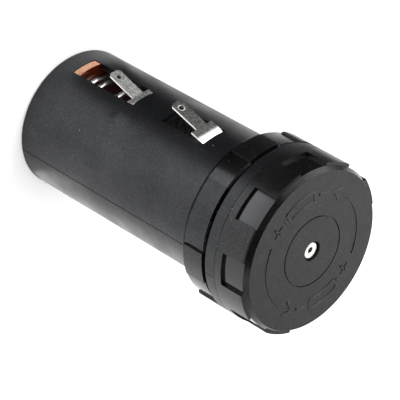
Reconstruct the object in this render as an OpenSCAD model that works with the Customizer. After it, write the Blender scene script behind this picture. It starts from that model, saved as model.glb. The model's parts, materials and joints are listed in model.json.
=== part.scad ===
// Cylindrical cell holder for panel mounting, with a screw cap, a ring nut and two solder tags.
// Origin at the centre of the closed rear end. +Z runs forward to the cap, +X to the solder tags.

/* [Main] */
// diameter of the cell the holder takes
cell_d = 34.2; // [33:0.1:36]
// length of the cell the holder takes
cell_l = 61.5; // [59:0.1:62]
// room between the cell and the tube all round
cell_room = 0.6; // [0.4:0.1:1]
// wall of the tube
tube_wall = 1.8; // [1.6:0.1:2.2]
// distance by which a fitted cell pushes the sprung contact back
cell_push = 5.1; // [3:0.1:7]

/* [Rear end] */
// thickness of the closed end
end_wall = 3; // [2:0.5:4]
// depth of the pocket behind the disc
pocket_depth = 3; // [2:0.5:4]
// width of the ledge that carries the disc
ledge_w = 3.2; // [2:0.1:4]
// thickness of the disc
disc_t = 2.4; // [1.6:0.1:3]
// small chamfer round the rear edge
end_chamfer = 0.35; // [0.2:0.05:0.8]

/* [Windows] */
// width of both windows
window_w = 7.6; // [6:0.1:9]
// length of the rear window, in which the sprung contact slides
rear_window_l = 23.5; // [22:0.5:26]
// length of the front window
front_window_l = 15.6; // [14:0.1:18]
// wall left between the two windows
window_gap = 11; // [9:0.5:13]

/* [Flange and threads] */
// height of the nut's thread above the tube
nut_thread_step = 1; // [0.7:0.1:1.5]
// reach of the flange, the nut and the cap beyond the nut's thread
head_step = 2.9; // [2.5:0.1:4]
// thickness of the flange
flange_t = 3.2; // [2.5:0.1:4]
// height of the plain neck, which sits in the panel hole, above the nut's thread
panel_neck_step = 0.2; // [0.1:0.05:0.5]
// length of the plain neck behind the flange
panel_neck_l = 1.25; // [1:0.05:2.5]
// length of the nut's thread
nut_thread_l = 7; // [6:0.5:9]
// wall of the front neck, from the bore to the crest of the cap's thread
neck_wall = 2.3; // [2:0.1:2.6]

/* [Fixing nut] */
// length of the nut
nut_l = 7.7; // [6:0.1:8]
// height of the grip pads above the nut
pad_h = 0.65; // [0.4:0.05:1.2]
// number of grip pads and of grip lands on the cap
grip_count = 8; // [6:1:10]

/* [Cap] */
// depth of the cap from the flange to its face
cap_l = 10.65; // [10:0.05:13]
// thickness of the cap's end wall
cap_end_t = 2.5; // [2:0.1:3]
// height of the grip lands above the recesses
land_h = 0.8; // [0.6:0.05:1.2]
// length of the plain collar behind the recesses
collar_l = 2.3; // [1.5:0.1:3]
// length of the sloping front edge
bevel_l = 1.45; // [1:0.05:2]
// radial width of the sloping front edge
bevel_w = 0.85; // [0.3:0.05:1.2]
// angle of the first recess from the solder tags
cap_turn = 36.25; // [0:0.25:45]
// outer diameter of the fine ring groove in the face
face_groove_d = 19.6; // [16:0.1:22]
// width of the ring groove
face_groove_w = 0.35; // [0.2:0.05:0.8]
// depth of the ring groove
face_groove_depth = 0.3; // [0.2:0.05:0.5]

/* [Contacts] */
// thickness of the contact metal
metal_t = 0.5; // [0.4:0.05:0.6]
// room on each side of the front contact's strip in its window
strip_room = 0.3; // [0.2:0.05:0.8]
// width of the tags' tongues
tongue_w = 3.5; // [2.8:0.1:4]
// diameter of the wire hole in the tags
wire_hole_d = 1.3; // [1:0.1:1.6]
// distance from a tag's end to its wire hole
wire_hole_from_end = 2.2; // [1.5:0.1:3]
// cut off each corner of a tag's end
tag_corner = 0.7; // [0.3:0.1:1]
// length of the front tag's tongue
front_tongue_l = 9.9; // [8:0.1:11]
// length of the front tag's head, from its bend to its shoulders
front_head_l = 2.8; // [2:0.1:4]
// slope of the front tag
front_tag_angle = 19.2; // [15:0.1:25]
// length of the rear tag's tongue
rear_tongue_l = 9.7; // [8:0.1:11]
// slope of the rear tag
rear_tag_angle = 20.5; // [15:0.1:25]
// outer diameter of the cap's eyelet
eyelet_d = 4.5; // [4:0.1:5.5]
// diameter of the eyelet's shank
eyelet_shank_d = 3; // [2.6:0.1:3.4]
// diameter of the hole in the eyelet
eyelet_hole_d = 1.6; // [1:0.1:2]
// thickness of the eyelet's head
eyelet_head_t = 0.45; // [0.3:0.05:0.6]
// depth of the eyelet's head below the cap's face
eyelet_sink = 0.6; // [0.3:0.05:0.9]

/* [Spring] */
// wire of the coil spring
wire_d = 1.5; // [1.2:0.1:1.8]
// room between the coil spring and the tube
spring_room = 1.55; // [1.2:0.05:3]
// rise of one open turn
spring_pitch = 7; // [6:0.1:8]

/* [Hidden] */
// name of the node to draw, or all

moulding_colour = [0.10, 0.10, 0.11];
plated_colour = [0.72, 0.72, 0.70];
resin_colour = [0.42, 0.13, 0.05];
spring_colour = [0.62, 0.62, 0.60];

// fineness of the round faces
$fn = 96;
// extra length of a cutter past the face it opens
past = 1;
// running clearance on a radius, as between a thread and its nut
run = 0.08;
// clearance on each side of a piece in its slot
side_room = 0.1;
// gap between two faces that only meet
seat = 0.05;
// sliver by which two solids of one piece overlap
join = 0.3;

bore_r = cell_d / 2 + cell_room;
tube_r = bore_r + tube_wall;
nut_thread_r = tube_r + nut_thread_step;
panel_neck_r = nut_thread_r + panel_neck_step;
head_r = nut_thread_r + head_step;
cap_thread_r = bore_r + neck_wall;

// levels along the axis, from the rear
ledge_z = end_wall + pocket_depth;
disc_top_z = ledge_z + disc_t;
rear_window_z = ledge_z - seat;
rear_window_end = rear_window_z + rear_window_l;
front_window_z = rear_window_end + window_gap;
front_window_end = front_window_z + front_window_l;
contact_face_z = rear_window_end - seat;

// the eyelet's clinched foot is the lowest point of the cap's contacts
foot_t = 0.6;
cap_contact_z = contact_face_z + cell_l - cell_push;
cap_plate_z = cap_contact_z + foot_t;
ceiling_z = cap_plate_z + metal_t;
// the front contact is hooked over the rim, just under the cap's contact plate
rim_z = cap_plate_z - seat - metal_t;
face_z = ceiling_z + cap_end_t;
cap_z = face_z - cap_l;
flange_front_z = cap_z - seat;
flange_z = flange_front_z - flange_t;
nut_thread_end = flange_z - panel_neck_l;
nut_thread_z = nut_thread_end - nut_thread_l;
nut_front_z = nut_thread_end - seat;
nut_z = nut_front_z - nut_l;

// radii
nut_base_r = head_r - pad_h;
nut_bore_r = nut_thread_r + run;
cap_floor_r = head_r - land_h;
cap_face_r = cap_floor_r - bevel_w;
cap_bore_r = cap_thread_r + run;
thread_chamfer = 0.4;

// the strip lies in a groove in the bore
strip_w = window_w - 2 * strip_room;
strip_inner_r = bore_r + seat;
strip_outer_r = strip_inner_r + metal_t;
groove_r = strip_outer_r + seat;

// the disc's lug and the sprung contact's bar fill the rear window's width
slider_w = window_w - 2 * side_room;

// one grip and one gap fill an equal share of the circle
grip_angle = 360 / grip_count / 2;

// point reached by going along a slope that leaves the axis direction by an angle, heading rearwards
function down_slope(from, angle, distance) =
    [from[0] + distance * sin(angle), from[1] - distance * cos(angle)];

// right-hand normal of the leg from a to b
function leg_normal(a, b) = [b[1] - a[1], a[0] - b[0]] / norm(b - a);

// shift of a corner whose two legs have normals m and n
function corner_shift(m, n) = (m + n) / (1 + m * n);

// shift of point i of a path to the other face of the sheet
function face_shift(path, i) =
    i == 0 ? leg_normal(path[0], path[1])
    : i == len(path) - 1 ? leg_normal(path[i - 1], path[i])
    : corner_shift(leg_normal(path[i - 1], path[i]), leg_normal(path[i], path[i + 1]));

// outline of sheet metal bent along a path, with the path on its left-hand face
function bent_sheet(path, t) = concat(
    path,
    [for (i = [len(path) - 1:-1:0]) path[i] + t * face_shift(path, i)]);

// unit vector from a to b
function towards(a, b) = (b - a) / norm(b - a);

// short curve that takes the place of corner b between a and c, from one reach before it to one after
function eased(a, b, c, reach) =
    let (start = b + reach * towards(b, a), end = b + reach * towards(b, c))
        [for (t = [0:0.2:1]) (1 - t) * (1 - t) * start + 2 * t * (1 - t) * b + t * t * end];

// sheet bent along a path in the XZ plane, centred on Y
module bent_strip(path, width) {
    rotate([90, 0, 0])
        linear_extrude(height = width, center = true)
            polygon(bent_sheet(path, metal_t));
}

// flat tongue from a root point, sloping out and rearwards, with its outer face through the root
module tongue(root, angle, length) {
    half = tongue_w / 2;
    translate([root[0], 0, root[1]])
        rotate([0, 90 - angle, 0])
            translate([0, 0, -metal_t])
                linear_extrude(height = metal_t)
                    difference() {
                        polygon([
                            [-join, -half],
                            [length - tag_corner, -half],
                            [length, -half + tag_corner],
                            [length, half - tag_corner],
                            [length - tag_corner, half],
                            [-join, half]]);
                        translate([length - wire_hole_from_end, 0])
                            circle(d = wire_hole_d);
                    }
}

// slot through the wall on the side of the tags
module window(low, high) {
    translate([bore_r - past, -window_w / 2, low])
        cube([tube_wall + 2 * past, window_w, high - low]);
}

module holder_body() {
    groove_w = strip_w + 2 * side_room;
    color(moulding_colour)
        difference() {
            rotate_extrude()
                polygon([
                    [0, 0],
                    [tube_r - end_chamfer, 0],
                    [tube_r, end_chamfer],
                    [tube_r, nut_thread_z],
                    [nut_thread_r - thread_chamfer, nut_thread_z],
                    [nut_thread_r, nut_thread_z + thread_chamfer],
                    [nut_thread_r, nut_thread_end],
                    [panel_neck_r, nut_thread_end],
                    [panel_neck_r, flange_z],
                    [head_r, flange_z],
                    [head_r, flange_front_z],
                    [cap_thread_r, flange_front_z],
                    [cap_thread_r, rim_z - thread_chamfer],
                    [cap_thread_r - thread_chamfer, rim_z],
                    [bore_r, rim_z],
                    [bore_r, ledge_z],
                    [bore_r - ledge_w, ledge_z],
                    [bore_r - ledge_w, end_wall],
                    [0, end_wall]]);
            window(rear_window_z, rear_window_end);
            window(front_window_z, front_window_end);
            // groove for the front contact, from the front window to the rim
            translate([bore_r - past, -groove_w / 2, front_window_end - past])
                cube([groove_r - bore_r + past, groove_w, rim_z - front_window_end + 2 * past]);
        }
}

// equal blocks at equal angles round the axis, each turned from a half section
module grips(first_angle, section) {
    for (i = [0:grip_count - 1])
        rotate([0, 0, first_angle + i * 2 * grip_angle - grip_angle / 2])
            rotate_extrude(angle = grip_angle)
                polygon(section);
}

module fixing_nut() {
    // both edges slope in, and the pads start just ahead of the rear one
    slope_w = 0.2;
    slope_l = 0.5;
    front_slope = 0.45;
    pad_z = nut_z + slope_l + seat;
    color(moulding_colour)
        union() {
            rotate_extrude()
                polygon([
                    [nut_bore_r + thread_chamfer, nut_z],
                    [nut_base_r - slope_w, nut_z],
                    [nut_base_r, nut_z + slope_l],
                    [nut_base_r, nut_front_z - front_slope],
                    [nut_base_r - front_slope, nut_front_z],
                    [nut_bore_r + thread_chamfer, nut_front_z],
                    [nut_bore_r, nut_front_z - thread_chamfer],
                    [nut_bore_r, nut_z + thread_chamfer]]);
            // each pad slopes down to the rear edge and ends square at the front
            grips(0, [
                [nut_base_r - join, pad_z - join],
                [nut_base_r + pad_h, pad_z + pad_h],
                [nut_base_r + pad_h, nut_front_z],
                [nut_base_r - front_slope - join, nut_front_z],
                [nut_base_r - join, nut_front_z - front_slope]]);
        }
}

module cap_shell() {
    shoulder_z = face_z - bevel_l;
    counterbore_room = 0.45;
    color(moulding_colour)
        rotate([0, 0, cap_turn])
            difference() {
                rotate_extrude()
                    polygon([
                        [0, cap_z],
                        [head_r, cap_z],
                        [head_r, shoulder_z],
                        [cap_floor_r, shoulder_z],
                        [cap_face_r, face_z],
                        [0, face_z]]);
                // grip recesses, open at the front, which leave the lands between them
                grips(0, [
                    [cap_floor_r, cap_z + collar_l],
                    [head_r + past, cap_z + collar_l],
                    [head_r + past, face_z],
                    [cap_floor_r, face_z]]);
                // threaded inside, with a chamfered mouth
                rotate_extrude()
                    polygon([
                        [0, cap_z - past],
                        [cap_bore_r + thread_chamfer, cap_z - past],
                        [cap_bore_r + thread_chamfer, cap_z],
                        [cap_bore_r, cap_z + thread_chamfer],
                        [cap_bore_r, ceiling_z],
                        [0, ceiling_z]]);
                translate([0, 0, face_z - face_groove_depth])
                    difference() {
                        cylinder(h = past, d = face_groove_d);
                        cylinder(h = past, d = face_groove_d - 2 * face_groove_w);
                    }
                translate([0, 0, face_z - eyelet_sink - eyelet_head_t])
                    cylinder(h = past + cap_end_t, r = eyelet_d / 2 + counterbore_room);
                translate([0, 0, ceiling_z - past])
                    cylinder(h = cap_end_t + 2 * past, d = eyelet_shank_d + 2 * seat);
            }
}

module cap_eyelet() {
    shank_r = eyelet_shank_d / 2;
    head_z = face_z - eyelet_sink - eyelet_head_t;
    edge = 0.15;
    hole_r = eyelet_hole_d / 2;
    color(plated_colour)
        rotate_extrude()
            polygon([
                [hole_r, cap_contact_z],
                [eyelet_d / 2, cap_contact_z],
                [eyelet_d / 2, cap_plate_z],
                [shank_r, cap_plate_z],
                [shank_r, head_z],
                [eyelet_d / 2, head_z],
                [eyelet_d / 2, head_z + eyelet_head_t - edge],
                [eyelet_d / 2 - edge, head_z + eyelet_head_t],
                [hole_r + edge, head_z + eyelet_head_t],
                [hole_r, head_z + eyelet_head_t - edge]]);
}

module cap_contact() {
    edge_room = 0.6;
    color(plated_colour)
        translate([0, 0, cap_plate_z])
            difference() {
                cylinder(h = metal_t, r = cap_bore_r - edge_room);
                translate([0, 0, -past])
                    cylinder(h = metal_t + 2 * past, d = eyelet_shank_d + 2 * seat);
            }
}

module front_contact() {
    hook_r = cap_thread_r - 2 * thread_chamfer;
    // the strip leaves the groove and bends outwards just inside the window
    leave_l = 0.2;
    leave = [strip_outer_r, front_window_end - leave_l];
    elbow_angle = 36;
    elbow_l = 2.1;
    elbow = down_slope(leave, elbow_angle, elbow_l);
    shoulder = down_slope(elbow, front_tag_angle, front_head_l);
    rim_corner = [strip_outer_r, rim_z];
    leave_reach = 0.4;
    elbow_reach = 1.1;
    path = concat(
        [[hook_r, rim_z], rim_corner],
        eased(rim_corner, leave, elbow, leave_reach),
        eased(leave, elbow, shoulder, elbow_reach),
        [shoulder]);
    color(plated_colour)
        union() {
            bent_strip(path, strip_w);
            tongue(shoulder, front_tag_angle, front_tongue_l);
        }
}

module spring_disc() {
    bore_room = 0.3;
    lug_inset = 0.2;
    color(resin_colour)
        translate([0, 0, ledge_z])
            union() {
                cylinder(h = disc_t, r = bore_r - bore_room);
                intersection() {
                    cylinder(h = disc_t, r = tube_r - lug_inset);
                    translate([0, -slider_w / 2, 0])
                        cube([tube_r, slider_w, disc_t]);
                }
            }
}

// the sheet of the sprung contact lies just behind the rear window's front edge
plate_z = contact_face_z - metal_t;

// height of the coil's wire after u turns: flat, rising ever faster, steady, then flat again
coil_low = disc_top_z + wire_d / 2;
coil_rise = plate_z - disc_top_z - wire_d;
rise_from = 0.05;
rise_until = rise_from + coil_rise / spring_pitch;
function ramp(u) = u <= 0 ? 0 : u >= 1 ? u - 0.5 : u * u / 2;
function coil_z(u) = coil_low + spring_pitch * (ramp(u - rise_from) - ramp(u - rise_until));

module contact_spring() {
    // the ends lie flat for as long as the next turn leaves room for the wire
    closest = 1.05;
    flat = 1 - sqrt(2 * closest * wire_d / spring_pitch);
    first = rise_from - flat;
    last = rise_until + 1 + flat;
    steps_per_turn = 26;
    sides = 10;
    steps = ceil((last - first) * steps_per_turn);
    coil_r = bore_r - spring_room - wire_d / 2;
    rings = [
        for (i = [0:steps])
            let (u = first + (last - first) * i / steps, a = 360 * u)
                for (j = [0:sides - 1])
                    let (b = 360 * j / sides, r = coil_r + wire_d / 2 * cos(b))
                        [r * cos(a), r * sin(a), coil_z(u) + wire_d / 2 * sin(b)]];
    skin = [
        for (i = [0:steps - 1])
            for (j = [0:sides - 1])
                let (k = (j + 1) % sides, low = i * sides, high = low + sides)
                    [low + j, high + j, high + k, low + k]];
    first_end = [for (j = [0:sides - 1]) j];
    last_end = [for (j = [sides - 1:-1:0]) steps * sides + j];
    color(spring_colour)
        polyhedron(points = rings, faces = concat(skin, [first_end, last_end]), convexity = 6);
}

module sprung_contact() {
    bore_room = 0.9;
    plate_r = bore_r - bore_room;
    // the bar of the T starts on the plate and bends down just inside the tube's outer face
    root_l = 3;
    bend_inset = 0.7;
    bend = [tube_r - bend_inset, contact_face_z];
    bar_l = 2.1;
    bar_angle = 12;
    root = down_slope(bend, bar_angle, bar_l);
    start = [plate_r - root_l, contact_face_z];
    bend_reach = 0.7;
    path = concat([start], eased(start, bend, root, bend_reach), [root]);
    color(plated_colour)
        union() {
            translate([0, 0, plate_z])
                cylinder(h = metal_t, r = plate_r);
            bent_strip(path, slider_w);
            tongue(root, rear_tag_angle, rear_tongue_l);
        }
}

holder_body();
fixing_nut();
cap_shell();
cap_eyelet();
cap_contact();
front_contact();
spring_disc();
contact_spring();
sprung_contact();
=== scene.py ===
"""Cylindrical cell holder: finishes, raised marks, studio and camera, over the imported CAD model."""

import json
import math

import bmesh
import bpy
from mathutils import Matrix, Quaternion, Vector


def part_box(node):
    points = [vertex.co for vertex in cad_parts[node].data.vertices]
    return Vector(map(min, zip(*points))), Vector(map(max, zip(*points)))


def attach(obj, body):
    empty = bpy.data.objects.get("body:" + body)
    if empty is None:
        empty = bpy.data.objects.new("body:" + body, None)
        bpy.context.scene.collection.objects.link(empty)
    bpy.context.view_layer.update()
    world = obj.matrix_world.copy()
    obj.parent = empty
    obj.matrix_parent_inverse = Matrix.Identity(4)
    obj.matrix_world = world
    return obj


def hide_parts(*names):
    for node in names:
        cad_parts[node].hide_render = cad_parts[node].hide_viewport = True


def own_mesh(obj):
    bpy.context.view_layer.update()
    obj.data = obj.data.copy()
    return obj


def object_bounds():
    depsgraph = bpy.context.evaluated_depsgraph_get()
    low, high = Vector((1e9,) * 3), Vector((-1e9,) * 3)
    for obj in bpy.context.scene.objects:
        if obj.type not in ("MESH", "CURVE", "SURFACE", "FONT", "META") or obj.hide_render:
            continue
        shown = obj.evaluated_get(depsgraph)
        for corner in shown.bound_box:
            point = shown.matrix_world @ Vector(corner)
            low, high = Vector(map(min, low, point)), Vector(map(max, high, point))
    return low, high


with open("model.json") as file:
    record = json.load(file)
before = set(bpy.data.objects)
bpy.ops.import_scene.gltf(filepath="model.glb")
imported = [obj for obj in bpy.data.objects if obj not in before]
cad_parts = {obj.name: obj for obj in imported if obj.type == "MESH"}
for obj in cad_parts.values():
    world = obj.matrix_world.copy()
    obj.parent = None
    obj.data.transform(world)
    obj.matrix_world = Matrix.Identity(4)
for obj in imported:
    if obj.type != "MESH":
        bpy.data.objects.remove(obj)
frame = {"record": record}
cad_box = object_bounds()

MM = 0.001
scene = bpy.context.scene
record = frame["record"]

# Corners of the CAD nodes, which the finishes and the added pieces follow.
body_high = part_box("holder_body")[1]
cap_low, cap_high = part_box("cap_shell")
nut_low, nut_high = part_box("fixing_nut")
disc_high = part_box("spring_disc")[1]

# Levels: the cap's face, its rear edge, which meets the flange, and the rim of the front neck.
FACE_Z = cap_high.z
FLANGE_Z = cap_low.z
RIM_Z = body_high.z

# Radii that no corner gives. BEYOND lies outside the whole part.
TUBE_R = 19.5 * MM
BORE_R = 17.7 * MM
MID_WALL_R = (TUBE_R + BORE_R) / 2
NUT_BORE_R = 20.58 * MM
CAP_BORE_R = 20.08 * MM
BEYOND = 2 * TUBE_R


def polar(radius, azimuth, z):
    """Point at a radius, an azimuth in degrees from the solder tags, and a level."""
    turn = math.radians(azimuth)
    return Vector((radius * math.cos(turn), radius * math.sin(turn), z))


def times(colour, factor):
    """Colour made brighter or darker."""
    return [factor * channel for channel in colour]


# ---- materials ----

THREAD_PITCH = 1.5 * MM


class Net:
    """The nodes of one material. Lengths are in metres, in the object's own frame."""

    def __init__(self, name, colour, roughness, **sockets):
        self.material = bpy.data.materials.new(name)
        self.material.use_nodes = True
        self.tree = self.material.node_tree
        self.shader = self.tree.nodes["Principled BSDF"]
        self.place = self.node("ShaderNodeTexCoord").outputs["Object"]
        self.x, self.y, self.z = self.node("ShaderNodeSeparateXYZ", Vector=self.place).outputs
        self.heights = []
        self.put("Base Color", colour)
        self.put("Roughness", roughness)
        for socket, value in sockets.items():
            self.put(socket.replace("_", " "), value)

    def node(self, kind, **values):
        """Adds a node and fills its sockets by name."""
        made = self.tree.nodes.new(kind)
        for name, value in values.items():
            self.fill(made.inputs[name], value)
        return made

    def fill(self, socket, value):
        """Links a socket to another node's output, or sets its own value."""
        if isinstance(value, bpy.types.NodeSocket):
            self.tree.links.new(value, socket)
        elif socket.type == "RGBA" and len(value) == 3:
            socket.default_value = (*value, 1.0)
        else:
            socket.default_value = value

    def put(self, socket, value):
        """Fills one socket of the shader."""
        self.fill(self.shader.inputs[socket], value)

    def compute(self, operation, *values):
        """One step of arithmetic."""
        made = self.tree.nodes.new("ShaderNodeMath")
        made.operation = operation
        for socket, value in zip(made.inputs, values):
            self.fill(socket, value)
        return made.outputs[0]

    def from_place(self, operation, operand):
        """One step of vector arithmetic on the place of the shaded point."""
        made = self.tree.nodes.new("ShaderNodeVectorMath")
        made.operation = operation
        self.fill(made.inputs[0], self.place)
        made.inputs[1].default_value = operand
        return made.outputs

    def noise(self, grain, detail=2.0, stretch=(1.0, 1.0, 1.0)):
        """Noise from 0 to 1 whose features are about grain across, or longer where stretch is over 1."""
        place = self.from_place("MULTIPLY", [1 / (grain * s) for s in stretch])["Vector"]
        return self.node("ShaderNodeTexNoise", Vector=place, Scale=1.0, Detail=detail).outputs["Fac"]

    def cells(self, grain):
        """Distance from the nearest of many scattered points, in grains."""
        place = self.from_place("MULTIPLY", [1 / grain] * 3)["Vector"]
        return self.node("ShaderNodeTexVoronoi", Vector=place, Scale=1.0).outputs["Distance"]

    def fade(self, value, start, end, low=0.0, high=1.0):
        """Turns a value smoothly from low at start to high at end."""
        made = self.tree.nodes.new("ShaderNodeMapRange")
        made.interpolation_type = "SMOOTHSTEP"
        for name, entry in (("Value", value), ("From Min", start), ("From Max", end),
                            ("To Min", low), ("To Max", high)):
            self.fill(made.inputs[name], entry)
        return made.outputs["Result"]

    def within(self, value, low, high, soft):
        """1 between low and high, and 0 outside."""
        rise = self.fade(value, low - soft, low + soft)
        fall = self.fade(value, high - soft, high + soft, 1.0, 0.0)
        return self.both(rise, fall)

    def dimmed(self, mask, factor, full=1.0):
        """Full where the mask is 0, and factor where it is 1."""
        return self.fade(mask, 0.0, 1.0, full, factor)

    def both(self, a, b):
        """Product of two values."""
        return self.compute("MULTIPLY", a, b)

    def mix(self, factor, a, b):
        """Colour a where factor is 0, and b where it is 1."""
        made = self.tree.nodes.new("ShaderNodeMix")
        made.data_type = "RGBA"
        # the colour sockets go by number, because the node's other sockets have the same names
        self.fill(made.inputs["Factor"], factor)
        self.fill(made.inputs[6], a)
        self.fill(made.inputs[7], b)
        return made.outputs[2]

    def radius(self):
        """Distance from the part's axis."""
        square = self.compute("MULTIPLY_ADD", self.x, self.x, self.both(self.y, self.y))
        return self.compute("SQRT", square)

    def away_from(self, point):
        """Distance from a point."""
        return self.from_place("DISTANCE", point)["Value"]

    def blot(self, point, reach, grain):
        """Ragged patch round a point: 1 in its middle, 0 outside."""
        ragged = self.compute("SUBTRACT", self.noise(grain, 3.0), 0.5)
        distance = self.compute("MULTIPLY_ADD", ragged, 1.6 * reach, self.away_from(point))
        return self.fade(distance, 0.25 * reach, reach, 1.0, 0.0)

    def facing(self, axis):
        """How far the surface faces one axis: 0, 1 or 2 for x, y or z."""
        normal = self.node("ShaderNodeTexCoord").outputs["Normal"]
        return self.node("ShaderNodeSeparateXYZ", Vector=normal).outputs[axis]

    def raise_by(self, height, pattern):
        """Adds relief: the pattern's 1 stands height above its 0."""
        self.heights.append(self.both(pattern, height))

    def thread(self, low, high, inner, outer):
        """Relief of a screw thread between two levels and two radii."""
        turn = self.compute("DIVIDE", self.compute("ARCTAN2", self.y, self.x), 2 * math.pi)
        rise = self.compute("ADD", turn, self.compute("DIVIDE", self.z, THREAD_PITCH))
        ridge = self.compute("ABSOLUTE", self.compute("SUBTRACT", self.compute("FRACT", rise), 0.5))
        where = self.both(self.within(self.z, low, high, 0.1 * MM),
                          self.within(self.radius(), inner, outer, 0.05 * MM))
        self.raise_by(0.5 * THREAD_PITCH, self.both(ridge, where))

    def done(self):
        """Joins up the relief, and gives the material."""
        if self.heights:
            total = self.heights[0]
            for height in self.heights[1:]:
                total = self.compute("ADD", total, height)
            bump = self.node("ShaderNodeBump", Height=total, Distance=1.0, Strength=1.0)
            self.put("Normal", bump.outputs["Normal"])
        return self.material


def finish_node(node, net):
    """Gives a CAD node its finish."""
    mesh = bpy.data.objects[node].data
    mesh.materials.clear()
    mesh.materials.append(net.done())


# ---- the three black mouldings ----

BODY_BLACK = (0.003, 0.0032, 0.004)
NUT_BLACK = (0.0025, 0.0025, 0.0028)
CAP_BLACK = (0.003, 0.003, 0.0031)
DUST_GREY = (0.15, 0.15, 0.155)
CRUMB_GREY = (0.26, 0.26, 0.27)
SMUDGE_GREY = (0.3, 0.3, 0.31)
SPECK_GREY = (0.3, 0.3, 0.3)

# Depth of the mould's grain.
COARSE_SPARK = 14e-6
FINE_SPARK = 8e-6

# A bore's thread shows this far beyond the bore.
BORE_THREAD_H = 0.22 * MM

# Smudges on the tube: azimuth in degrees, level in mm, reach in mm, strength.
SMUDGES = (
    (27.5, 30.5, 3.0, 0.035),
    (60, 33, 8.0, 0.018),
    (78, 22, 7.0, 0.018),
    (250, 40, 9.0, 0.02),
    (170, 25, 8.0, 0.02),
)

# The middle of a dull scuff on the tube.
SCUFF = polar(TUBE_R, 26, 27 * MM)

# The nut's pads stand PAD_H on its base, and its sloping edges carry painted shade to these distances from
# its ends.
PAD_H = 0.65 * MM
REAR_DARK_L = 0.66 * MM
FRONT_DARK_L = 0.45 * MM
NUT_BASE_R = nut_high.x - PAD_H

# The floors of the cap's grip recesses lie LAND_H deep, and are polished up to this far behind the face.
LAND_H = 0.8 * MM
POLISH_END_L = 1.4 * MM
RECESS_R = cap_high.x - LAND_H


def black_moulding(name, colour, roughness, spark=FINE_SPARK, dusty=1.0):
    """Black plastic from a spark-eroded mould: fine grain, cloudy sheen and a little dust."""
    net = Net(name, colour, roughness, IOR=1.46)
    cloud = net.noise(9 * MM, 4.0)
    grain = net.noise(0.42 * MM, 4.0)
    dust = net.both(net.fade(net.cells(1.1 * MM), 0.14, 0.06), net.fade(net.noise(5 * MM), 0.48, 0.6))
    tone = net.mix(net.fade(cloud, 0.35, 0.7), times(colour, 0.7), times(colour, 1.5))
    tone = net.mix(net.both(net.fade(grain, 0.5, 0.75), 0.5), tone, times(colour, 4))
    net.tone = net.mix(net.both(dust, 0.5 * dusty), tone, DUST_GREY)
    net.put("Base Color", net.tone)
    net.put("Roughness", net.fade(cloud, 0.3, 0.75, roughness + 0.06, roughness - 0.06))
    net.sheen = net.compute("ADD", net.fade(grain, 0.3, 0.7, 0.41, 0.6),
                            net.fade(net.noise(3 * MM, 3.0), 0.3, 0.7, -0.025, 0.025))
    net.put("Specular IOR Level", net.sheen)
    net.raise_by(spark, grain)
    net.raise_by(0.4 * spark, net.noise(0.22 * MM, 2.0))
    return net


def edge_dust(net, tone, level):
    """Tone with the bright crumbs that gather along an edge at one level."""
    crumbs = net.both(net.fade(net.cells(0.9 * MM), 0.17, 0.08), net.fade(net.noise(3.5 * MM), 0.5, 0.6))
    near = net.within(net.z, level - 0.3 * MM, level + 0.3 * MM, 0.15 * MM)
    return net.mix(net.both(net.both(crumbs, near), 0.6), tone, CRUMB_GREY)


def marked_by_hands(net, tone):
    """Tone with the smudges and specks that handling left on the tube."""
    for azimuth, z, reach, strength in SMUDGES:
        smudge = net.blot(polar(TUBE_R, azimuth, z * MM), reach * MM, 0.7 * MM)
        tone = net.mix(net.both(smudge, strength), tone, SMUDGE_GREY)
    specks = net.both(net.fade(net.cells(2.6 * MM), 0.07, 0.035), net.fade(net.noise(7 * MM), 0.5, 0.58))
    return net.mix(net.both(specks, 0.7), tone, SPECK_GREY)


def finish_body():
    """The body: threads on the two necks, handling marks on the tube, and a bore that glows faintly as
    painted light.
    """
    net = black_moulding("moulding_black", BODY_BLACK, 0.42, COARSE_SPARK)
    net.thread(FLANGE_Z + 0.4 * MM, RIM_Z - 0.4 * MM, MID_WALL_R, BEYOND)
    net.thread(nut_low.z + 1.2 * MM, nut_high.z - 0.3 * MM, MID_WALL_R, BEYOND)
    net.put("Base Color", edge_dust(net, marked_by_hands(net, net.tone), FLANGE_Z))
    net.put("Specular Tint", (0.93, 0.955, 1.0))
    scuffed = net.blot(SCUFF, 1.7 * MM, 0.6 * MM)
    net.put("Specular IOR Level", net.both(net.sheen, net.dimmed(scuffed, 0.65)))
    # painted light: the bore's wall glows faintly, in place of the light that reaches inside the tube
    painted_bore_glow = net.both(net.fade(net.radius(), BORE_R + 0.4 * MM, BORE_R + 0.1 * MM),
                      net.within(net.z, disc_high.z, FLANGE_Z, MM))
    net.put("Emission Color", (0.9, 0.95, 1.0))
    net.put("Emission Strength", net.both(painted_bore_glow, 0.011))
    finish_node("holder_body", net)


def finish_nut():
    """The nut: smooth between its duller pads, with painted shade on its sloping edges, and a threaded
    bore.
    """
    net = black_moulding("nut_black", NUT_BLACK, 0.36)
    raised = net.compute("MAXIMUM", net.compute("SUBTRACT", net.radius(), NUT_BASE_R), 0.0)
    rear_end = nut_low.z + REAR_DARK_L
    rear_slope = net.fade(net.compute("SUBTRACT", net.z, raised),
                          rear_end - 0.04 * MM, rear_end + 0.04 * MM, 1.0, 0.0)
    front_end = nut_high.z - FRONT_DARK_L
    front_slope = net.both(net.fade(net.z, front_end - 0.05 * MM, front_end + 0.05 * MM),
                           net.fade(raised, 0.02 * MM, 0.06 * MM, 1.0, 0.0))
    # painted shade: the sloping edges lose almost all their sheen, so they stay dark
    painted_edge_shade = net.compute("MAXIMUM", rear_slope, net.both(front_slope, 0.8))
    net.put("Specular IOR Level", net.both(net.sheen, net.dimmed(painted_edge_shade, 0.08, 0.94)))
    net.put("Specular Tint", (0.93, 0.96, 1.0))
    net.put("Base Color", edge_dust(net, net.tone, nut_high.z))
    # takes the place of the moulding's cloudy roughness
    net.put("Roughness", net.fade(raised, 0.02 * MM, 0.08 * MM, 0.2, 0.36))
    net.thread(nut_low.z + 0.5 * MM, nut_high.z - 0.5 * MM, 0.0, NUT_BORE_R + BORE_THREAD_H)
    finish_node("fixing_nut", net)


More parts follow.
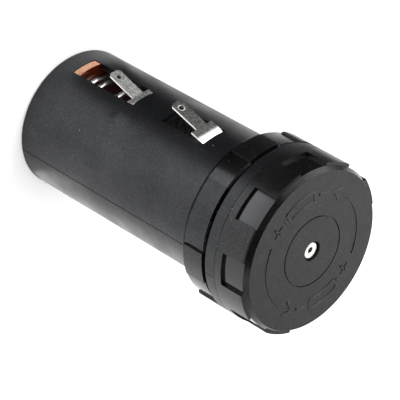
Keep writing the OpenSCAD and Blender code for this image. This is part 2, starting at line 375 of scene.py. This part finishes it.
def finish_cap():
    """The cap: a coarser, duller face, polished floors in the recesses, and a dark seam at the flange."""
    net = black_moulding("cap_black", CAP_BLACK, 0.32, dusty=1.6)
    polish_end = FACE_Z - POLISH_END_L
    polished = net.both(net.within(net.radius(), RECESS_R - 0.1 * MM, RECESS_R + 0.1 * MM, 0.04 * MM),
                        net.fade(net.z, polish_end + 0.2 * MM, polish_end - 0.2 * MM))
    textured = net.dimmed(polished, 0.0)
    front = net.fade(net.facing(2), 0.8, 0.95)
    bevel = net.within(net.facing(2), 0.3, 0.75, 0.08)
    net.heights = [net.both(height, textured) for height in net.heights]
    net.raise_by(2 * FINE_SPARK, net.both(front, net.noise(0.45 * MM, 3.0)))
    # takes the place of the moulding's cloudy roughness
    rough = net.compute("MULTIPLY_ADD", textured, 0.22, 0.11)
    net.put("Roughness", net.both(rough, net.dimmed(bevel, 0.75)))
    level = net.mix(textured, (0.6, 0.6, 0.6), net.sheen)
    level = net.both(level, net.dimmed(front, 0.84))
    level = net.both(level, net.dimmed(bevel, 0.7))
    seam = net.fade(net.z, FLANGE_Z + 0.08 * MM, FLANGE_Z + 0.16 * MM, 0.25, 1.0)
    net.put("Specular IOR Level", net.both(level, seam))
    net.put("Specular Tint", net.mix(front, (0.9, 0.915, 0.95), (1.0, 1.0, 1.0)))
    net.put("Base Color", edge_dust(net, net.tone, FLANGE_Z + 0.2 * MM))
    net.thread(FLANGE_Z + 0.5 * MM, RIM_Z, 0.0, CAP_BORE_R + BORE_THREAD_H)
    finish_node("cap_shell", net)


# ---- metal pieces ----

# Near-white tin: the painted highlight on the tags' sheared sides and the front tag's bend, and the coined
# ring's colour.
BRIGHT_TIN = (0.95, 0.94, 0.92)
# The front tag's tin is a darker copy of the rear tag's: painted shade for the dark surroundings that it
# reflects.
DARKENED_FRONT_TIN = (0.42, 0.417, 0.405)
REAR_TIN = (0.8, 0.793, 0.77)
NICKEL = (0.86, 0.85, 0.82)
SPRING_STEEL = (0.78, 0.76, 0.72)
BRUSH_H = 1.5e-6
ALONG_Z = (1.0, 1.0, 14.0)

# A tag's sheared sides lie past this distance from its middle line.
CUT_Y = 1.2 * MM

# The coined ring round the front tag's hole.
RING_INNER_R = 0.72 * MM
RING_OUTER_R = 1.05 * MM
RING_H = 0.06 * MM


def bare_metal(name, colour, roughness, mottle=0.0, stretch=(1.0, 1.0, 1.0)):
    """Plated sheet or wire with a fine grain, which is mottled where mottle is over 0."""
    net = Net(name, colour, roughness, Metallic=1.0)
    patch = net.noise(0.9 * MM, 4.0)
    worn = net.fade(patch, 0.38, 0.64)
    net.tone = net.mix(worn, times(colour, 1 - mottle), times(colour, 1 + 0.3 * mottle))
    net.put("Base Color", net.tone)
    net.put("Roughness", net.fade(patch, 0.35, 0.7, roughness + 0.12, roughness))
    net.raise_by(BRUSH_H, net.noise(0.12 * MM, 2.0, stretch))
    return net


def tag_tin(name, colour, roughness, mottle):
    """Dull tin, brushed along the part, with a painted highlight on its sheared sides."""
    net = bare_metal(name, colour, roughness, mottle, ALONG_Z)
    # painted highlight: the sheared sides turn near-white and lose their metal
    side = net.both(net.fade(net.compute("ABSOLUTE", net.facing(1)), 0.6, 0.85),
                    net.fade(net.compute("ABSOLUTE", net.y), CUT_Y - 0.1 * MM, CUT_Y + 0.1 * MM))
    net.tone = net.mix(side, net.tone, BRIGHT_TIN)
    net.put("Base Color", net.tone)
    net.put("Metallic", net.compute("SUBTRACT", 1.0, side))
    return net


def finish_front_tag():
    """The front tag: a painted highlight where it bends down, and bright on the coined ring round its
    hole.
    """
    net = tag_tin("tinned_front", DARKENED_FRONT_TIN, 0.3, 0.55)
    hole = next(mount["pos_m"] for mount in record["mounts"] if mount["name"] == "front_tag_hole")
    ring = net.within(net.away_from(hole), RING_INNER_R, RING_OUTER_R, 0.06 * MM)
    # painted highlight: where the tag bends down, its colour is near-white tin
    painted_bend_highlight = net.within(net.facing(2), 0.42, 0.8, 0.04)
    net.put("Base Color", net.mix(net.compute("MAXIMUM", ring, painted_bend_highlight), net.tone, BRIGHT_TIN))
    net.raise_by(RING_H, ring)
    finish_node("front_contact", net)


def finish_metal():
    """The tags, the cap's eyelet and plate, and the coil spring."""
    finish_front_tag()
    finish_node("sprung_contact", tag_tin("tinned_rear", REAR_TIN, 0.4, 0.45))
    for node in ("cap_eyelet", "cap_contact"):
        finish_node(node, bare_metal("nickel_" + node, NICKEL, 0.16))
    finish_node("contact_spring", bare_metal("spring_wire", SPRING_STEEL, 0.3))


# ---- the disc ----

PLY_H = 0.3 * MM
BURN_H = 0.35 * MM
VARNISH = (0.06, 0.008, 0.002)
DARK_VARNISH = (0.02, 0.0025, 0.0008)
LIGHT_VARNISH = (0.075, 0.009, 0.0025)
DARK_FIBRE = (0.27, 0.09, 0.035)
LIGHT_FIBRE = (0.56, 0.3, 0.17)
RESIN_LINE = (0.3, 0.1, 0.04)
BURNT_EDGE = (0.45, 0.14, 0.015)


def finish_disc():
    """The disc: layers show along its sawn rim, the faces are varnished, and the faces glow faintly red as
    painted light.
    """
    net = Net("resin_board", VARNISH, 0.22, Coat_Weight=0.5, Coat_Roughness=0.12)
    rim = net.fade(net.compute("ABSOLUTE", net.facing(2)), 0.7, 0.3)
    fibre = net.mix(net.fade(net.noise(0.3 * MM, 3.0), 0.38, 0.6), DARK_FIBRE, LIGHT_FIBRE)
    layer = net.compute("FRACT", net.compute("DIVIDE", net.z, PLY_H))
    fibre = net.mix(net.fade(layer, 0.7, 0.95, 0.0, 0.4), fibre, RESIN_LINE)
    burnt = net.fade(net.z, disc_high.z - BURN_H, disc_high.z)
    fibre = net.mix(net.both(burnt, 0.6), fibre, BURNT_EDGE)
    face = net.mix(net.noise(2.5 * MM, 3.0), DARK_VARNISH, LIGHT_VARNISH)
    net.put("Base Color", net.mix(rim, face, fibre))
    net.put("Roughness", net.compute("MULTIPLY_ADD", rim, 0.5, 0.2))
    # painted light: the faces glow faintly red, in place of the light round the spring inside the tube
    net.put("Emission Color", (1.0, 0.36, 0.33))
    net.put("Emission Strength", net.both(net.fade(net.radius(), BORE_R - 0.1 * MM, 14 * MM), 0.006))
    finish_node("spring_disc", net)


finish_body()
finish_nut()
finish_cap()
finish_metal()
finish_disc()


# ---- a copy of the coil spring stands for it ----

coil = bpy.data.objects["contact_spring"].copy()
coil.data = coil.data.copy()
coil.name = "coil_spring"
scene.collection.objects.link(coil)
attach(coil, "holder")
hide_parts("contact_spring")
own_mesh(coil)


# ---- raised marks on the cap's face ----

MARK_H = 0.2 * MM
SINK = 0.02 * MM
MARK_BLACK = black_moulding("mark_black", CAP_BLACK, 0.32).done()

# Widths of the marks' lines.
ARROW_W = 0.45 * MM
BARB_W = 0.5 * MM
CELL_W = 0.7 * MM
TIP_W = 1.3 * MM
SIGN_W = 0.85 * MM

# Radii in mm and azimuths in degrees, for the half of the face that the other half repeats.
ARROW_R = 16
ARROW_START = 58
ARROW_POINT = 147
BARB_INNER_R = 14.2
BARB_OUTER_R = 17.8
CELL_INNER_R = 14.5
CELL_OUTER_R = 17.3
CELL_START = -7
CELL_END = 27
SIGN_R = 15.9
SIGN_HALF_L = 1.8
ARC_STEP = 2.0


def skin(name, rings, material, closed=False):
    """Piece with a skin through rings of points, whose ends are flat, or meet where it is closed."""
    made = bmesh.new()
    rows = [[made.verts.new(point) for point in ring] for ring in rings]
    spans = list(zip(rows, rows[1:]))
    if closed:
        spans.append((rows[-1], rows[0]))
    for a, b in spans:
        for j in range(len(a)):
            k = (j + 1) % len(a)
            made.faces.new((a[j], a[k], b[k], b[j]))
    if not closed:
        made.faces.new(rows[0][::-1])
        made.faces.new(rows[-1])
    bmesh.ops.recalc_face_normals(made, faces=made.faces)
    mesh = bpy.data.meshes.new(name)
    made.to_mesh(mesh)
    made.free()
    mesh.materials.append(material)
    piece = bpy.data.objects.new(name, mesh)
    scene.collection.objects.link(piece)
    return piece


def on_face(radius, azimuth):
    """Point on the cap's face, at a radius in mm."""
    return polar(radius * MM, azimuth, FACE_Z)


def arc(radius, start, end):
    """Points along an arc on the cap's face."""
    count = max(2, round(abs(end - start) / ARC_STEP) + 1)
    return [on_face(radius, start + (end - start) * i / (count - 1)) for i in range(count)]


def rib(name, points, width, closed=False):
    """Raised rib with sloping sides along points on the cap's face."""
    count = len(points)
    rings = []
    for i, point in enumerate(points):
        before = points[(i - 1) % count] if closed or i else point
        after = points[(i + 1) % count] if closed or i < count - 1 else point
        along = (after - before).normalized()
        side = Vector((along.y, -along.x, 0.0))
        # at a corner the rib keeps its width
        leg = (point - before).normalized() if (point - before).length else along
        spread = 1 / max(0.5, abs(side.dot(Vector((leg.y, -leg.x, 0.0)))))
        rings.append([point + side * (share * width * spread) + Vector((0, 0, height))
                      for share, height in ((-0.5, -SINK), (-0.3, MARK_H), (0.3, MARK_H), (0.5, -SINK))])
    piece = skin(name, rings, MARK_BLACK, closed)
    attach(piece, "cap")


def raise_marks(half, turn):
    """An arrow that shows which way the cap unscrews, and a cell's outline between its poles' signs."""
    rib(f"arrow_{half}", arc(ARROW_R, ARROW_START + turn, ARROW_POINT - 1 + turn), ARROW_W)
    barbs = [on_face(BARB_INNER_R, ARROW_POINT - 9 + turn),
             on_face(ARROW_R, ARROW_POINT + turn),
             on_face(BARB_OUTER_R, ARROW_POINT - 8 + turn)]
    rib(f"arrow_head_{half}", barbs, BARB_W)
    start = CELL_START + turn
    end = CELL_END + turn
    outline = arc(CELL_INNER_R, start, end) + arc(CELL_OUTER_R, end, start)
    rib(f"cell_{half}", outline, CELL_W, closed=True)
    rib(f"cell_tip_{half}", arc(SIGN_R, end + 2.4, end + 5), TIP_W)
    rib(f"plus_a_{half}", arc(SIGN_R, end + 9, end + 22), SIGN_W)
    upright = [on_face(SIGN_R - SIGN_HALF_L, end + 15.5), on_face(SIGN_R + SIGN_HALF_L, end + 15.5)]
    rib(f"plus_b_{half}", upright, SIGN_W)
    rib(f"minus_{half}", arc(SIGN_R, start - 18, start - 6), SIGN_W)


raise_marks("upper", 0)
raise_marks("lower", 180)


# ---- flash along the mould's split, on both sides ----

FLANGE_R = body_high.y
FLANGE_T = 3.2 * MM
SEAT = 0.05 * MM
FLANGE_REAR_Z = FLANGE_Z - SEAT - FLANGE_T
FLASH_STEPS = 24


def flash_finish():
    """Dull, torn plastic."""
    net = Net("flash_black", (0.001, 0.001, 0.001), 0.85, Specular_IOR_Level=0.2)
    net.raise_by(20e-6, net.noise(0.8 * MM, 2.0))
    net.put("Roughness", net.fade(net.noise(3 * MM), 0.3, 0.7, 0.75, 0.95))
    return net.done()


FLASH_BLACK = flash_finish()


def flash_line(name, side, radius, low, high, width, height):
    """Thin raised seam along the body. side is 1 or -1, for +Y or -Y."""
    rings = []
    for i in range(FLASH_STEPS + 1):
        z = low + (high - low) * i / FLASH_STEPS
        swell = height * (0.8 + 0.2 * math.sin(2.3 * i))
        rings.append([(share * width, side * (math.sqrt(radius**2 - (share * width) ** 2) + rise), z)
                      for share, rise in ((-0.5, -SINK), (-0.25, swell), (0.25, swell), (0.5, -SINK))])
    piece = skin(name, rings, FLASH_BLACK)
    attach(piece, "holder")


for name, side in (("left", 1), ("right", -1)):
    flash_line(f"flash_tube_{name}", side, TUBE_R, 0.4 * MM, nut_low.z + 0.3 * MM,
               width=0.3 * MM, height=0.03 * MM)
    flash_line(f"flash_flange_{name}", side, FLANGE_R, FLANGE_REAR_Z + 0.1 * MM, FLANGE_Z - 0.15 * MM,
               width=0.25 * MM, height=0.02 * MM)


# ---- studio: a white floor under an even white sky, and cards that only reflections see ----

SKY_STRENGTH = 1.5
FLOOR_HALF_W = 3.0
FLOOR_WHITE = (0.9, 0.9, 0.9)
FLOOR_BRIGHT = (0.92, 0.92, 0.92)
FLAG_BLACK = Net("flag_black", (0.01, 0.01, 0.01), 1.0, Specular_IOR_Level=0.0).done()
CARD_STEPS = 24

# Height in mm of the cards that lie over the floor.
LOW_CARD_H = 0.5


def stage_piece(name, corners, faces, material):
    """Mesh that belongs to the studio."""
    mesh = bpy.data.meshes.new(name)
    mesh.from_pydata(corners, [], faces)
    mesh.materials.append(material)
    piece = bpy.data.objects.new(name, mesh)
    scene.collection.objects.link(piece)
    return piece


def light_sky():
    """Even white light from all round."""
    world = bpy.data.worlds.new("studio")
    world.use_nodes = True
    background = world.node_tree.nodes["Background"]
    background.inputs["Color"].default_value = (1.0, 1.0, 1.0, 1.0)
    background.inputs["Strength"].default_value = SKY_STRENGTH
    scene.world = world


def lay_floor():
    """Plain white floor."""
    net = Net("floor_white", FLOOR_WHITE, 0.8, Specular_IOR_Level=0.0)
    net.put("Base Color", net.mix(net.noise(40 * MM, 2.0), FLOOR_WHITE, FLOOR_BRIGHT))
    corners = [(x * FLOOR_HALF_W, y * FLOOR_HALF_W, 0) for x, y in ((-1, -1), (1, -1), (1, 1), (-1, 1))]
    stage_piece("floor", corners, [(0, 1, 2, 3)], net.done())


def card_finish(name, glow):
    """Matt black, or an even glow where glow is over 0."""
    if glow == 0:
        return FLAG_BLACK
    return Net(name, (0.0, 0.0, 0.0), 1.0, Specular_IOR_Level=0.0, Emission_Color=(1.0, 1.0, 1.0),
               Emission_Strength=glow).done()


def card(name, first, last, inner, outer, glow):
    """Card bent round the part's axis between two azimuths, which only reflections see. inner and outer
    are the radius and the height of its two edges in mm."""
    azimuths = [first + (last - first) * i / CARD_STEPS for i in range(CARD_STEPS + 1)]
    corners = [polar(radius * MM, azimuth, height * MM)
               for azimuth in azimuths for radius, height in (inner, outer)]
    faces = [(2 * i, 2 * i + 1, 2 * i + 3, 2 * i + 2) for i in range(CARD_STEPS)]
    made = stage_piece(name, corners, faces, card_finish(name, glow))
    made.visible_camera = made.visible_diffuse = made.visible_shadow = False
    made.visible_transmission = made.visible_volume_scatter = False


def low_card(name, first, last, inner, outer, glow=0.0):
    """Card over the floor, between two radii in mm."""
    card(name, first, last, (inner, LOW_CARD_H), (outer, LOW_CARD_H), glow)


def upright_card(name, first, last, radius, low, high, glow=0.0):
    """Card that stands at a radius, between two heights in mm."""
    card(name, first, last, (radius, low), (radius, high), glow)


def aim(thing, centre, azimuth, elevation, distance, roll=0.0):
    """Adds a light or a camera that looks at a centre from an azimuth, an elevation and a distance."""
    turn = math.radians(azimuth)
    lift = math.radians(elevation)
    away = Vector((math.cos(turn) * math.cos(lift), math.sin(turn) * math.cos(lift), math.sin(lift)))
    thing.location = centre + away * distance
    thing.rotation_mode = "QUATERNION"
    upright = (-away).to_track_quat("-Z", "Y")
    thing.rotation_quaternion = upright @ Quaternion((0, 0, 1), math.radians(roll))
    scene.collection.objects.link(thing)


def softbox(name, azimuth, elevation, distance, width, height, power):
    """Area light aimed at the object's middle."""
    light = bpy.data.lights.new(name, "AREA")
    light.shape = "RECTANGLE"
    light.size = width
    light.size_y = height
    light.energy = power
    aim(bpy.data.objects.new(name, light), (cad_box[0] + cad_box[1]) / 2, azimuth, elevation, distance)


scene.view_settings.view_transform = "Standard"
light_sky()
lay_floor()
low_card("flag_foot", -56, 13, 26, 42)
low_card("flag_near", -66, 13, 42, 106)
low_card("flag_far", -95, 13, 106, 260)
upright_card("flag_low", -88, 14, 260, 0, 75)
upright_card("flag_front", 5, 100, 260, 30, 340)
upright_card("glow_bevel", -64, -16, 260, 90, 140, 4.2)
low_card("glow_tube", 26, 62, 26, 105, 1.9)
low_card("glow_grips", 11, 50, 108, 138, 3.2)
low_card("glow_foot", 118, 205, 20.5, 42, 2.2)
low_card("glow_side", 137, 205, 42, 100, 2.2)
upright_card("sky_dim", 120, 221, 300, 100, 650, 1.0)
softbox("key", azimuth=-38, elevation=36, distance=0.9, width=0.5, height=0.32, power=3.0)


# ---- camera: it looks down at the cap, rolled so that the tags are uppermost ----

CAMERA_AIM = Vector((-1.866, 2.118, 50.854)) * MM
CAMERA_DISTANCE = 604.25 * MM
CAMERA_LENS = 211.17
SENSOR_WIDTH = 36.0

camera = bpy.data.objects.new("camera", bpy.data.cameras.new("camera"))
camera.data.lens = CAMERA_LENS
camera.data.sensor_width = SENSOR_WIDTH
aim(camera, CAMERA_AIM, azimuth=41.3696, elevation=37.8917, distance=CAMERA_DISTANCE, roll=119.885)
scene.camera = camera
